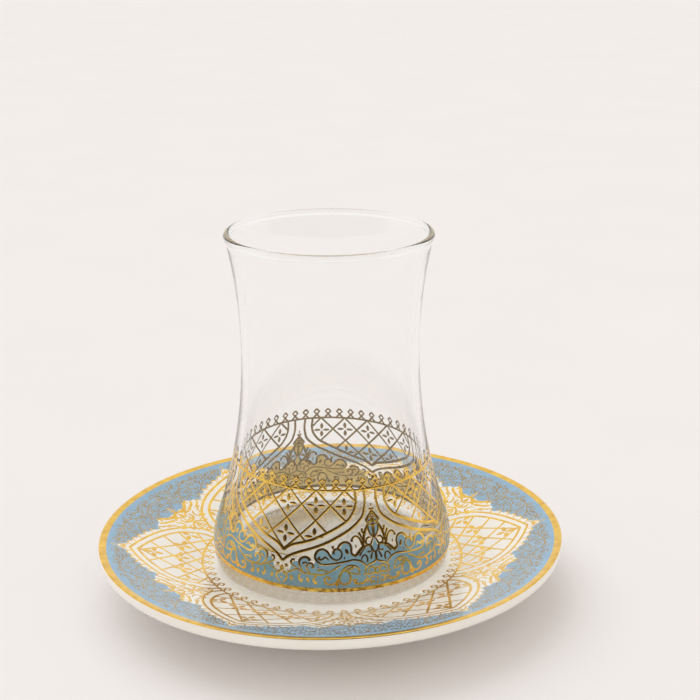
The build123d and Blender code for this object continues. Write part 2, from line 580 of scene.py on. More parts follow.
class Tree:
    """A node tree, with short ways to add nodes and to feed their sockets."""

    def __init__(self, owner):
        self.nodes, self.links = owner.nodes, owner.links

    def feed(self, node, sockets):
        """Link each socket, by its name or number, to another, or give it a plain number or colour."""
        for name, value in sockets.items():
            socket = node.inputs[name]
            if isinstance(value, bpy.types.NodeSocket):
                self.links.new(value, socket)
            else:
                socket.default_value = (*value, 1.0) if socket.type == "RGBA" else value

    def add(self, kind, sockets=None, **settings):
        """A new node of that kind with its settings, its sockets fed."""
        node = self.nodes.new("ShaderNode" + kind)
        for name, value in settings.items():
            setattr(node, name, value)
        self.feed(node, sockets or {})
        return node

    def reckon(self, operation, first, second):
        """The outcome of a sum on two numbers."""
        return self.add("Math", {0: first, 1: second}, operation=operation).outputs["Value"]

    def reckon_vector(self, operation, *values):
        """The outcome of a sum on vectors."""
        node = self.add("VectorMath", dict(enumerate(values)), operation=operation)
        return node.outputs["Value" if operation == "DOT_PRODUCT" else "Vector"]

    def graded(self, value, low=0.0, high=1.0, start=0.0, end=1.0, **settings):
        """The value's run from start to end, stretched to run from low to high."""
        sockets = {"Value": value, "From Min": start, "From Max": end, "To Min": low, "To Max": high}
        return self.add("MapRange", sockets, **settings).outputs["Result"]

    def below(self, top, bottom, most=1.0):
        """0 above the height top, rising to most at the height bottom."""
        split = self.add("SeparateXYZ", {"Vector": self.add("TexCoord").outputs["Object"]})
        return self.graded(split.outputs["Z"], high=most, start=top, end=bottom)

    def mixed(self, mask, first, second):
        """A number that goes from first to second with the mask."""
        return self.add("Mix", {"Factor": mask, "A": first, "B": second}).outputs["Result"]

    def blended(self, mask, first, second):
        """A colour that goes from first to second with the mask."""
        mix = self.add("Mix", {"Factor": mask}, data_type="RGBA")
        ends = [i for i, socket in enumerate(mix.inputs) if socket.type == "RGBA"]
        self.feed(mix, dict(zip(ends, (first, second))))
        return next(socket for socket in mix.outputs if socket.type == "RGBA")

    def either(self, share, first, second):
        """The first shader, or the second where share is 1."""
        return self.add("MixShader", {0: share, 1: first, 2: second}).outputs["Shader"]

    def fired(self, patch, grain, share):
        """The fired surface's group, with the sizes of its patches and grain in millimetres."""
        sockets = {"Patch Scale": 1 / (patch * MM), "Grain Scale": 1 / (grain * MM), "Grain Share": share}
        return self.add("Group", sockets, node_tree=fired_surface())

    def relief(self, height, depth):
        """The normal of a relief of that many millimetres."""
        return self.add("Bump", {"Height": height, "Distance": depth * MM}).outputs["Normal"]


def shared(make):
    """The material that make makes, made the first time it is asked for."""
    return bpy.data.materials.get(make.__name__) or make(make.__name__)


def new_material(name):
    """A new material, its node tree and its shader."""
    material = bpy.data.materials.new(name)
    material.use_nodes = True
    tree = Tree(material.node_tree)
    return material, tree, tree.nodes["Principled BSDF"]


def fired_surface():
    """Node group: soft patches and fine grain of a fired surface, with a height for bumps."""
    group = bpy.data.node_groups.get("Fired surface")
    if group:
        return group
    group = bpy.data.node_groups.new("Fired surface", "ShaderNodeTree")
    for name, default in (("Patch Scale", 200.0), ("Grain Scale", 3000.0), ("Grain Share", 0.5)):
        socket = group.interface.new_socket(name=name, in_out="INPUT", socket_type="NodeSocketFloat")
        socket.default_value = default
    for name in ("Patches", "Grain", "Height"):
        group.interface.new_socket(name=name, in_out="OUTPUT", socket_type="NodeSocketFloat")
    tree = Tree(group)
    entry, leave = tree.nodes.new("NodeGroupInput"), tree.nodes.new("NodeGroupOutput")
    place = tree.add("TexCoord").outputs["Object"]
    looks = {}
    for name, detail in (("Patch", 3.0), ("Grain", 2.0)):
        scale = entry.outputs[name + " Scale"]
        noise = tree.add("TexNoise", {"Vector": place, "Scale": scale, "Detail": detail})
        looks[name] = tree.graded(noise.outputs["Fac"], start=0.3, end=0.7)
    height = tree.mixed(entry.outputs["Grain Share"], looks["Patch"], looks["Grain"])
    tree.feed(leave, {"Patches": looks["Patch"], "Grain": looks["Grain"], "Height": height})
    return group


def clear_glass(name):
    """Clear soda glass with the faint ripple of a pressed and blown wall; its underside is satin."""
    g = bpy.context.scene.glass_sizes
    material, tree, shader = new_material(name)
    punt = g.stand + g.punt_depth
    ripple = tree.fired(patch=16.0, grain=5.0, share=0.15)
    tree.feed(shader, {
        "Base Color": bpy.context.scene.finishes.glass,
        "IOR": GLASS_IOR,
        "Transmission Weight": 1.0,
        "Roughness": tree.below(punt + UNDERSIDE_FADE[0], punt + UNDERSIDE_FADE[1], UNDERSIDE_ROUGHNESS),
        "Normal": tree.relief(ripple.outputs["Height"], 0.012),
    })
    # light that falls through the glass on the well goes straight on, so that it is counted once
    path, clear = tree.add("LightPath"), tree.add("BsdfTransparent", {"Color": THROUGH_GLASS})
    passes = tree.reckon("MAXIMUM", path.outputs["Is Shadow Ray"], path.outputs["Is Diffuse Ray"])
    surface = tree.either(passes, shader.outputs["BSDF"], clear.outputs["BSDF"])
    tree.feed(tree.nodes["Material Output"], {"Surface": surface})
    return material


def porcelain(name):
    """White glaze with soft creamy patches; the foot ring's tread is bare and matt."""
    f = bpy.context.scene.finishes
    material, tree, shader = new_material(name)
    glaze = tree.fired(patch=14.0, grain=0.9, share=0.25)
    patches, tread = glaze.outputs["Patches"], tree.below(*TREAD_FADE)
    tree.feed(shader, {
        "Base Color": tree.blended(tread, tree.blended(patches, f.porcelain, f.porcelain_warm), f.biscuit),
        "Roughness": tree.mixed(tread, tree.graded(patches, low=0.1, high=0.2), TREAD_ROUGHNESS),
        "Normal": tree.relief(glaze.outputs["Height"], 0.02),
    })
    return material


def underside(tree):
    """1 on the faces of the glass's print that look in towards the glass's axis."""
    place = tree.add("TexCoord")
    flat = tree.reckon_vector("MULTIPLY", place.outputs["Object"], (1.0, 1.0, 0.0))
    outward = tree.reckon_vector("NORMALIZE", flat)
    facing = tree.reckon_vector("DOT_PRODUCT", outward, place.outputs["Normal"])
    return tree.graded(facing, start=-0.2, end=-0.4)


def fired_gold(name, bright, worn, behind=None):
    """Burnished gold with duller patches and a fine brushed grain; behind is its look through the glass."""
    material, tree, shader = new_material(name)
    metal = tree.fired(patch=2.6, grain=0.16, share=0.8)
    tone = tree.blended(metal.outputs["Patches"], bright, worn)
    if behind:
        tone = tree.blended(underside(tree), tone, behind)
    tree.feed(shader, {
        "Base Color": tone,
        "Metallic": 1.0,
        "Roughness": tree.graded(metal.outputs["Grain"], low=0.08, high=0.22),
        "Normal": tree.relief(metal.outputs["Height"], 0.006),
    })
    return material


def gold_print(name):
    f = bpy.context.scene.finishes
    return fired_gold(name, f.gold, f.gold_worn)


def gold_on_glass(name):
    f = bpy.context.scene.finishes
    return fired_gold(name, f.gold, f.gold_worn, f.gold_back)


def thin_gold(name):
    """The finest scrollwork, where the gold is thin and the blue darkens it."""
    f = bpy.context.scene.finishes
    return fired_gold(name, f.gold_thin, [THIN_GOLD_WEAR * channel for channel in f.gold_thin])


def enamel(name, tone, depth, rough):
    """Fired enamel: a screen-printed colour that pools darker, by depth, in patches."""
    material, tree, shader = new_material(name)
    ink = tree.fired(patch=3.4, grain=0.22, share=0.6)
    grain = ink.outputs["Grain"]
    patches = tree.blended(ink.outputs["Patches"], tone, [channel * depth for channel in tone])
    specks = [min(1.0, channel * SPECK_LIGHT) for channel in tone]
    tree.feed(shader, {
        "Base Color": tree.blended(tree.graded(grain, high=SPECK_SHARE), patches, specks),
        "Roughness": tree.graded(grain, low=rough, high=rough + 0.18),
        "Normal": tree.relief(ink.outputs["Height"], 0.01),
    })
    return material


def blue_enamel(name):
    return enamel(name, bpy.context.scene.finishes.blue, depth=0.72, rough=0.22)


def saucer_enamel(name):
    return enamel(name, bpy.context.scene.finishes.blue_pale, depth=0.82, rough=0.16)


# the enamel's back is painted with a light amber glow that stands in for light shining through the enamel
def enamel_back(name):
    return enamel(name, bpy.context.scene.finishes.blue_back, depth=0.8, rough=0.3)


def backdrop(name):
    """Matt pale paper with soft patches."""
    tone = bpy.context.scene.finishes.backdrop
    material, tree, shader = new_material(name)
    paper = tree.fired(patch=60.0, grain=1.2, share=0.7)
    tree.feed(shader, {
        "Base Color": tree.blended(paper.outputs["Patches"], tone, [PAPER_WEAR * c for c in tone]),
        "Roughness": 0.9,
        "Specular IOR Level": 0.1,
        "Normal": tree.relief(paper.outputs["Height"], 0.02),
    })
    return material


# ------------------------------------------------------------------ the glass's print
# Flat places on the glass are (degrees from the medallion's middle, millimetres above the
# glass's foot). The print repeats four times round the glass and a finial stands between two
# medallions, 45 degrees from their middles.
QUARTER = 90
FINIAL = 45
FRIEZE_HEIGHT = 28.5
FRIEZE_COUNT = 48
BAND_HEIGHT, BAND_WIDTH = 5.3, 1.3
# a line of the lattice goes that many degrees across while it falls that far, for at most so many steps
LATTICE_STEP, LATTICE_FALL = 15.4, 7.12
LATTICE_REACH = 2.2
LINES = (-2, -1, 0, 1, 2)      # where the lattices' lines start, in steps from a medallion's middle
TRIES = 40                     # places tried in each step of a lattice's line for where it ends
INNER_EDGE = ((36.4, 28.3), (36.8, 26), (35.8, 24), (32.8, 21.9), (30.3, 21), (25.6, 19.7), (20.1, 18.4),
              (13.9, 17), (9.2, 16.2), (4, 15.4), (1.5, 14.6), (0, 13.9))
OUTER_EDGE = ((41.4, 28.3), (41.8, 26), (41.1, 24), (39.8, 22.3), (36.7, 20.8), (32.1, 19.2), (27.5, 18),
              (22.7, 16.8), (16.9, 15.6), (13, 14.9), (8, 14), (3, 12.8), (0, 11.5))


def on_glass(*places):
    """Flat sheet points from places given in degrees and millimetres."""
    return [(u * SHEET, v) for u, v in places]


def g_soft(*places, **options):
    return soft(*on_glass(*places), **options)


def g_sharp(*places, **options):
    return sharp(*on_glass(*places), **options)


def g_petal(start, end, weight):
    return petal(*on_glass(start, end), weight)


def g_dot(place, weight, reach=0.2):
    return dot(on_glass(place)[0], weight, reach)


def edge_at(edge, v):
    """How far out, in degrees, an outline stands at height or radius v; nothing is left past its tip."""
    for (u1, v1), (u2, v2) in zip(edge, edge[1:]):
        if min(v1, v2) <= v <= max(v1, v2):
            return u1 + (u2 - u1) * (v1 - v) / (v1 - v2)
    return edge[0][0] if abs(v - edge[0][1]) < abs(v - edge[-1][1]) else 0.0


def lattice_run(foot, level, step, rise, most, edge):
    """The places of a lattice's line, at most so many steps long, that lie inside an outline."""
    tries = [(foot + step * t, level + rise * t) for t in spread(0, most, round(TRIES * most))]
    return [place for place in tries[1:] if abs(place[0]) <= edge_at(edge, place[1])]


def lattice_line(across):
    """One line of the lattice, running down to the right from the frieze as far as the inner outline."""
    top = across * LATTICE_STEP
    kept = lattice_run(top, FRIEZE_HEIGHT, LATTICE_STEP, -LATTICE_FALL, LATTICE_REACH, INNER_EDGE)
    return g_sharp((top, FRIEZE_HEIGHT), kept[-1])


def petals_about(make, place, tips, sides, weight):
    """The petals of a flower on those of its sides; tips gives a side's start, end and weight."""
    x, y = place
    return [make((x + start[0], y + start[1]), (x + end[0], y + end[1]), swell * weight)
            for start, end, swell in (tips[side] for side in sides)]


def flower(u, v, sides="nesw", weight=1.0):
    """A four-petalled flower: tall petals up and down, slim ones to the sides."""
    tips = {"n": ((0, 0.25), (0, 2.15), 1.95), "s": ((0, -0.25), (0, -2.15), 1.95),
            "e": ((0.6, 0), (5.1, 0), 1.4), "w": ((-0.6, 0), (-5.1, 0), 1.4)}
    return petals_about(g_petal, (u, v), tips, sides, weight)


def flower_strokes():
    """The lattice's flowers: those of one side, and those on the medallion's axis."""
    side = (flower(LATTICE_STEP, 24.94) + flower(2 * LATTICE_STEP - 0.4, 24.7)
            + flower(LATTICE_STEP - 0.4, 17.7, "nw") + flower(LATTICE_STEP - 0.6, 17.75, "e", 0.8))
    return side, flower(0, 24.94) + flower(0, 17.8)


def frieze_strokes():
    """One open diamond on crossed legs, half of it."""
    return [g_sharp(*[(u, FRIEZE_HEIGHT + v) for u, v in ((0, 2.75), (1.8, 1.95), (-2.1, 0.1))])]


def finial_strokes():
    """The standing ornament between two medallions: one side of it, and what crosses its middle."""
    side = [
        g_sharp((0, 23.2), (-3.5, 21.3), (-2.7, 20.4), (-0.6, 21.0), weight=1.25),
        g_soft((-0.8, 21.6), (-1.6, 21.9), (-2.5, 21.4), (-1.7, 20.9), (-0.8, 21.3), (-0.8, 21.6)),
        g_soft((-2.7, 20.4), (-2.6, 19.2), (-2.0, 18.2), (-0.9, 17.4), (0, 16.9), weight=1.1, start=1.0),
        g_soft((-2.9, 20.3), (-3.8, 19.3), (-4.8, 18.3), (-5.4, 17.2), (-5.8, 15.6), weight=1.4),
        g_soft((-5.9, 19.5), (-6.0, 18.8), (-5.4, 18.1), start=1.4),
        g_soft((-7.9, 18.6), (-6.9, 17.8), (-6.2, 16.8), start=1.3),
        g_soft((-6.0, 15.4), (-7.4, 17.0), (-8.8, 17.7), (-10.2, 17.7), (-11.3, 17.2), (-11.6, 16.6),
               start=1.3, end=1.3),
        g_dot((-9.6, 15.5), 1.8),
        g_soft((-1.7, 17.1), (-3.0, 17.2), (-4.2, 16.7), (-4.5, 16.0), (-3.7, 15.6), (-2.6, 15.4),
               (-1.6, 16.0), (-0.6, 17.0)),
        g_soft((-6.2, 15.3), (-4.5, 15.3), (-3.0, 15.5), (-1.8, 15.0), (-1.0, 14.1), (0, 13.7), weight=1.2,
               end=1.0),
        g_soft((-3.2, 15.3), (-2.1, 14.9), (-2.0, 14.2), (-3.0, 13.9), (-4.1, 14.1), end=1.6),
        g_soft((-5.6, 15.3), (-7.4, 14.8), (-9.0, 14.0), (-10.3, 13.1), start=1.3, end=1.2),
        g_soft((-5.0, 14.9), (-6.8, 14.1), (-8.1, 13.3), end=1.3),
        g_soft((-1.3, 14.0), (-2.2, 13.2), (-2.7, 12.3), weight=1.3, end=1.0),
        g_soft((-4.6, 11.6), (-4.4, 12.6), (-5.3, 13.3), (-6.6, 13.1), (-7.6, 12.3), weight=1.2, start=1.0),
        # the crown under it
        g_soft((-5.6, 9.0), (-5.7, 10.0), (-4.6, 10.9), (-2.6, 11.3), (-1.1, 11.6), (0, 12.0), weight=1.3),
        g_soft((-4.5, 9.2), (-3.6, 10.3), (-1.9, 10.4), (-0.9, 9.6), weight=1.2, end=1.3),
        g_soft((-7.0, 8.9), (-4.0, 8.8), (-1.6, 9.0), (0, 8.5), weight=1.3),
        g_sharp((0, 10.3), (-1.2, 9.4), (0, 8.5), weight=1.1),
        g_soft((-1.2, 7.6), (-2.2, 8.1), (-3.5, 7.6), (-3.5, 6.8), (-2.4, 6.5), (-1.5, 7.0),
               weight=1.1, end=1.5),
        g_soft((-5.4, 8.4), (-4.7, 7.4), (-5.1, 6.4), weight=1.2),
    ]
    middle = [
        g_dot((0, 24.6), 1.9, 0.24),
        g_soft((-1.4, 23.7), (-0.7, 23.75), (0, 23.5), (0.7, 23.75), (1.4, 23.7), start=1.2, end=1.2),
        g_soft((0, 23.6), (0, 23.0), start=1.3, end=1.3),
        g_soft((-0.7, 22.1), (0, 22.6), (0.7, 22.1), (0, 21.7), closed=True),
        g_soft((0, 21.8), (0, 21.2), (0, 20.6), weight=2.2, start=0.6, end=1.0),
        g_soft((0, 20.5), (0, 19.0), (0, 17.2), weight=2.2, start=1.0, end=0.8),
        g_soft((-2.7, 20.3), (0, 19.9), (2.7, 20.3), weight=1.2),
        g_soft((0, 13.8), (0, 12.8), (0, 11.7), weight=1.9, start=0.7, end=0.6),
        g_dot((0, 7.5), 1.8, 0.3),
        g_petal((0, 6.9), (0, 6.1), 1.8),
    ]
    return side, middle


def scroll_strokes():
    """The scrollwork of the blue zone, from the middle of a medallion to the finial."""
    side = [
        # the vine round the big lobe, which runs on into the second lobe
        g_soft((40.2, 10.6), (38.4, 11.6), (36.6, 12.2), (34, 12.5), (30.3, 12.2), (26.5, 11.9),
               (21.8, 11.6), (18.9, 11.6), (16.9, 12.2), (15.8, 13.1), (16.1, 14.0), (17.4, 14.7),
               (19.3, 14.95), (21.3, 14.5), (22.7, 13.6), (24.1, 12.9), (25.6, 12.6), (27.3, 12.8),
               (28.3, 13.5), (28.3, 14.3), (27.2, 14.9), (25.7, 15.0), (24.7, 14.6), (24.4, 13.9),
               start=0.8, weight=1.2, end=1.5),
        g_soft((24.1, 15.8), (24.2, 15.3), (24.9, 14.9), start=1.2),
        g_soft((17.3, 13.2), (18.0, 12.6), (19.4, 12.8), (20.6, 13.2), (22.2, 12.6), start=2.2, weight=1.3),
        g_soft((26.2, 14.9), (27.3, 15.8), (28.8, 16.4), (30.8, 16.5), (32.3, 16.1), (33.0, 15.2),
               (32.9, 14.4), (33.2, 13.8), (34.4, 13.4), (35.5, 13.5), (36.8, 14.0), (37.6, 14.5),
               (38.9, 15.0), (40.0, 15.2), weight=1.25, end=1.2),
        g_petal((30.2, 15.2), (31.6, 13.7), 2.4),
        g_dot((29.6, 13.0), 1.8),
        # the lower vine and its leaf
        g_soft((7.9, 10.1), (9.5, 9.6), (12, 9.3), (14.8, 9.2), (17.9, 9.1), (19.8, 9.2), (22.1, 9.7),
               (24.6, 10.4), (26.4, 11.0), (27.7, 11.4), start=0.7, weight=1.2),
        g_soft((16.9, 10.0), (18.8, 10.25), (20.6, 10.1), (22.4, 9.8), start=1.3),
        g_soft((29.3, 10.4), (28.1, 9.7), (27.2, 8.6), (25.8, 7.4), (23.9, 6.75), (22, 6.75), (20.6, 7.3),
               (20.4, 8.1), (21.4, 8.6), (22.5, 8.4), (22.4, 7.8), start=1.1, weight=1.3, end=1.5),
        g_petal((26.6, 7.4), (25.5, 6.1), 2.4),
        g_soft((28.6, 10.0), (27.3, 9.2), (27.0, 8.0), (27.6, 7.1), (29.3, 6.7), (31.1, 6.9), (32.1, 7.7),
               (31.9, 9.0), (30.7, 9.9), weight=1.3, closed=True),
        g_soft((28.8, 10.4), (30.3, 10.9), (32.1, 11.2), (34, 11.1), (35.6, 10.6), (36.3, 9.8), (36.3, 9.0),
               start=1.0, weight=1.2),
        g_soft((30.5, 10.3), (32.2, 10.5), (33.8, 10.8), start=0.8, weight=1.3, end=1.6),
        g_soft((29.3, 10.4), (31.2, 9.9), (33.1, 9.4), (34.9, 9.1), (37.0, 9.0), weight=1.1),
        g_soft((34.4, 7.9), (34.2, 7.2), (35.0, 6.7), (36.8, 6.6), (38.6, 6.9), (39.4, 7.7),
               start=2.2, weight=1.7),
        # round the medallion's point
        g_soft((9.0, 9.1), (8.6, 8.2), (9.0, 7.5), (10.2, 7.3), start=1.0, weight=1.3, end=2.4),
        g_soft((16.6, 8.9), (15.4, 8.0), (15.5, 7.2), (16.8, 7.0), start=1.0, weight=1.3, end=2.4),
        g_soft((8.7, 10.0), (6.5, 10.5), (4.9, 11.0), (4.3, 11.6), (5.0, 12.1), (6.1, 12.0), end=1.4),
        g_soft((10.4, 9.6), (8.9, 10.6), (8.3, 11.6), (9.0, 12.5), (10.7, 12.9), (12.4, 12.8), (13.5, 12.2),
               weight=1.3, end=1.2),
        g_soft((10.0, 11.4), (11.0, 11.8), (12.1, 11.6), start=1.3, end=1.3),
        g_soft((14.0, 9.3), (12.5, 10.0), (12.0, 10.9), (12.8, 11.5), (14.1, 11.6), (15.0, 11.1),
               (14.6, 10.6), weight=1.2, end=1.6),
        g_dot((17.5, 10.7), 1.6),
        g_soft((2.2, 8.7), (4.4, 9.4), (6.3, 9.9), (8.2, 10.1), weight=1.1),
        g_soft((0.5, 6.2), (2.0, 6.9), (2.6, 7.9), (1.8, 8.8), (0.7, 8.6), weight=1.3, end=1.8),
        g_petal((1.2, 10.8), (3.0, 10.3), 1.6),
        g_petal((4.6, 8.7), (5.2, 6.9), 1.8),
        g_petal((12.3, 8.6), (12.9, 6.9), 1.8),
    ]
    middle = [
        g_petal((0, 9.0), (0, 10.6), 2.2),
        g_dot((0, 7.5), 1.7, 0.25),
    ]
    return side, middle


# lobes of the blue zone's upper edge: middle in degrees, its height, half width in degrees, rise
BLUE_LOBES = ((3.5, 6.0, 4.5, 3.2), (6.8, 9.6, 2.6, 2.3), (10.9, 9.6, 3.2, 3.2), (14.6, 9.6, 2.4, 2.0),
              (19.3, 11.5, 3.7, 3.3), (25.9, 12.2, 3.2, 2.7), (30.4, 13.2, 3.2, 3.2), (34.4, 11.0, 3.5, 2.3),
              (38.6, 12.0, 3.4, 2.7), (42.0, 13.0, 3.4, 2.4), (45.0, 13.4, 1.8, 2.8))
BLUE_LOW = 5.7
POINT_REACH = 16                        # degrees; so far the medallion's point keeps the zone low
BLUE_UNDER_POINT, BLUE_BESIDE = 8.6, 11.6


def blue_top(u):
    """Upper edge of the blue zone, u degrees from the middle of a medallion."""
    u = abs((u + QUARTER / 2) % QUARTER - QUARTER / 2)
    top = BLUE_BESIDE if u > POINT_REACH else BLUE_UNDER_POINT
    for middle, level, half, rise in BLUE_LOBES:
        if abs(u - middle) < half:
            top = max(top, level + rise * sqrt(1 - ((u - middle) / half) ** 2))
    return top


# the enamel inside the finial: heights and, in degrees, half widths, from the bottom up
FILL_LOW, FILL_RISE = 15.2, 7.8
FINIAL_FILL = ((FILL_LOW, 1.2), (16.6, 0.3), (17.2, 0.5), (18.2, 1.8), (19.4, 2.4), (20.4, 2.6),
               (21.3, 3.2), (FILL_LOW + FILL_RISE, 0.2))


def fill_width(v):
    """Half width of the finial's enamel, in degrees, at height v."""
    for (v1, w1), (v2, w2) in zip(FINIAL_FILL, FINIAL_FILL[1:]):
        if v1 <= v <= v2:
            return w1 + (w2 - w1) * (v - v1) / (v2 - v1)
    return FINIAL_FILL[-1][1]


# ------------------------------------------------------------------ the saucer's print
# Flat places on the saucer are (degrees from a medallion's axis, millimetres from the middle).
# The print repeats six times round the saucer and mirrors about each medallion's axis.
SIXTH = 60
WELL_LINE = 33.3
WELL_DIAMONDS = 60
SAUCER_OUTER = ((28.7, WELL_LINE), (28.2, 36.5), (26.6, 38.6), (24, 41), (20, 43.4), (15, 45.8),
                (10, 47.7), (5, 49.5), (0, 51.3))
SAUCER_INNER = ((25.2, WELL_LINE), (24.4, 36), (22.5, 38.5), (19.5, 41.2), (15, 43.6), (10, 45.6),
                (5, 47.5), (0, 49.3))
BLUE_RADIUS = 57.0             # the blue border's outer edge, under the gold band
BAND_RADII = (56.6, 58.84)     # the gold band's two edges
MESH_NODE = 35.5               # where the lattice's lines first cross on a medallion's axis
MESH_STEP, MESH_RISE = 9.9, 6.6
MESH_REACH = 2.6


def on_saucer(*places):
    """Flat sheet points from places given in degrees and millimetres."""
    return [(r * cos(radians(a)), r * sin(radians(a))) for a, r in places]


def s_soft(*places, **options):
    return soft(*on_saucer(*places), **options)


def s_sharp(*places, **options):
    return sharp(*on_saucer(*places), **options)


def s_petal(start, end, weight):
    return petal(*on_saucer(start, end), weight)


def s_curl(place, size, start, sweep, stem):
    """A curl about a place; its angles count from the outward direction there."""
    return curl(on_saucer(place)[0], size, start + place[0], sweep, on_saucer(*stem))


def mesh_line(across):
    """One line of the saucer's lattice, running outwards and round as far as the inner outline.

    The lines cross on the medallion's axis at MESH_NODE; this one stands across steps from there.
    """
    foot = (across - (MESH_NODE - WELL_LINE) / MESH_RISE) * MESH_STEP
    kept = lattice_run(foot, WELL_LINE, MESH_STEP, MESH_RISE, MESH_REACH, SAUCER_INNER)
    return s_sharp((foot, WELL_LINE) if abs(foot) < abs(kept[0][0]) else kept[0], kept[-1])


def saucer_flower(a, r, sides="nesw", weight=1.0):
    """A four-petalled flower on the saucer, its petals all about as long."""
    wide = degrees(3.0 / r)
    tips = {"n": ((0, 0.1), (0, 2.5), 2.5), "s": ((0, -0.1), (0, -2.5), 2.5),
            "e": ((0.4, 0), (wide, 0), 2.5), "w": ((-0.4, 0), (-wide, 0), 2.5)}
    return petals_about(s_petal, (a, r), tips, sides, weight)


def saucer_flower_strokes():
    """The saucer lattice's flowers: those of one side, and those on the medallion's axis."""
    side = saucer_flower(MESH_STEP, 38.8) + saucer_flower(2 * MESH_STEP, 38.6, "nsw", 0.9)
    return side, saucer_flower(0, 38.8) + saucer_flower(0, 45.4)


def well_frieze_strokes():
    """One small diamond pointing into the well, half of it."""
    return [s_sharp((0, 30.5), (1.6, 31.5), (-1.8, 33.1))]


def bud_strokes():
    """The leaves along the outer outline and the bud at its tip."""
    side = []
    for a, r in ((3.4, 51.5), (6.2, 50.6), (9.0, 49.6), (11.8, 48.7), (14.8, 47.5), (17.8, 46.1)):
        side.append(s_soft((a - 1.3, r - 0.5), (a - 0.4, r + 0.5), (a + 0.7, r + 0.3), (a + 1.0, r - 0.6)))
    side += [
        s_soft((0, 53.0), (1.2, 52.6), (1.9, 51.7)),
        s_soft((0, 54.6), (0.9, 54.0), (1.1, 53.2), (0.4, 52.7)),
    ]
    middle = [
        s_sharp((0, 55.9), (0.6, 55.3), (0, 54.7), (-0.6, 55.3), closed=True),
        s_petal((0, 53.9), (0, 52.0), 2.0),
    ]
    return side, middle


def wing_strokes():
    """The wings and the standing ornament half way between two medallions, about their own axis."""
    side = [
        s_soft((-7.0, 48.0), (-5.4, 46.9), (-3.6, 46.0), (-1.6, 46.0), (0, 46.6),
               start=1.4, weight=1.8, end=1.4),
        s_soft((-6.6, 46.9), (-4.8, 46.0), (-3.0, 45.3), (-1.4, 45.4), weight=1.3),
        s_soft((-8.2, 48.6), (-7.6, 47.6), (-8.2, 46.8), start=1.3, weight=1.3),
        s_soft((-9.6, 47.2), (-8.6, 46.2), (-6.6, 45.4), (-4.8, 44.7), start=1.0, weight=1.6, end=1.4),
        s_soft((-11.4, 46.2), (-9.8, 45.1), (-8.0, 44.6), weight=1.3),
        s_soft((-10.2, 44.6), (-8.6, 44.1), (-7.2, 43.4), weight=1.2),
        s_soft((-4.4, 44.5), (-3.0, 44.8), (-1.6, 44.3), (-0.8, 43.4), start=1.2, weight=1.5),
        s_soft((-5.8, 44.0), (-4.6, 43.2), (-4.3, 42.0), (-5.4, 41.4), (-6.5, 42.0), weight=1.2, end=1.6),
        s_soft((-7.9, 43.4), (-7.2, 42.4), (-7.6, 41.4), (-6.6, 40.8), weight=1.1, end=1.4),
        s_soft((-2.6, 43.9), (-2.9, 42.8), (-2.0, 41.9), (0, 41.4), weight=1.5, end=1.2),
        s_soft((-1.2, 43.2), (-1.3, 42.5), (0, 42.2), weight=1.3),
        s_soft((0, 40.8), (-1.6, 40.3), (-3.2, 39.2), (-3.6, 37.9), weight=1.3),
        s_soft((-0.4, 39.8), (-1.4, 38.7), (-1.4, 37.6), weight=1.2, end=1.4),
        s_soft((-2.4, 40.0), (-4.2, 40.4), (-5.0, 39.6), (-4.6, 38.8), end=1.5),
        s_soft((-2.2, 37.6), (-1.4, 36.6), (-2.0, 35.6), weight=1.1, end=1.3),
        s_soft((0, 37.0), (-0.9, 36.4), (0, 35.6), weight=1.2),
    ]
    middle = [
        s_petal((0, 45.8), (0, 43.2), 2.6),
        s_soft((0, 41.6), (0, 39.6), (0, 37.4), start=1.0, weight=1.6),
        s_petal((0, 46.2), (0, 49.4), 2.4),
        s_petal((-1.9, 47.3), (1.9, 47.3), 1.8),
    ]
    return side, middle


LEAF_ROWS = ((54.4, 2.4, 12), (52.6, 3.6, 12), (50.9, 8.2, 10), (49.3, 12.0, 8))   # radius, start, count
LEAF_STEP = 2.4


def saucer_leaf_strokes():
    """Small hooked leaves that fill the ground between the curls of the blue border."""
    leaves = []
    for row, (r, first, count) in enumerate(LEAF_ROWS):
        for i in range(count):
            a, flip = first + LEAF_STEP * i, 1 if (i + row) % 2 else -1
            hook = ((a - 0.9, r - 0.45 * flip), (a - 0.3, r + 0.5 * flip), (a + 0.6, r + 0.35 * flip),
                    (a + 0.5, r - 0.4 * flip))
            leaves.append(s_soft(*hook, start=1.0, weight=1.1, end=1.3))
    return leaves


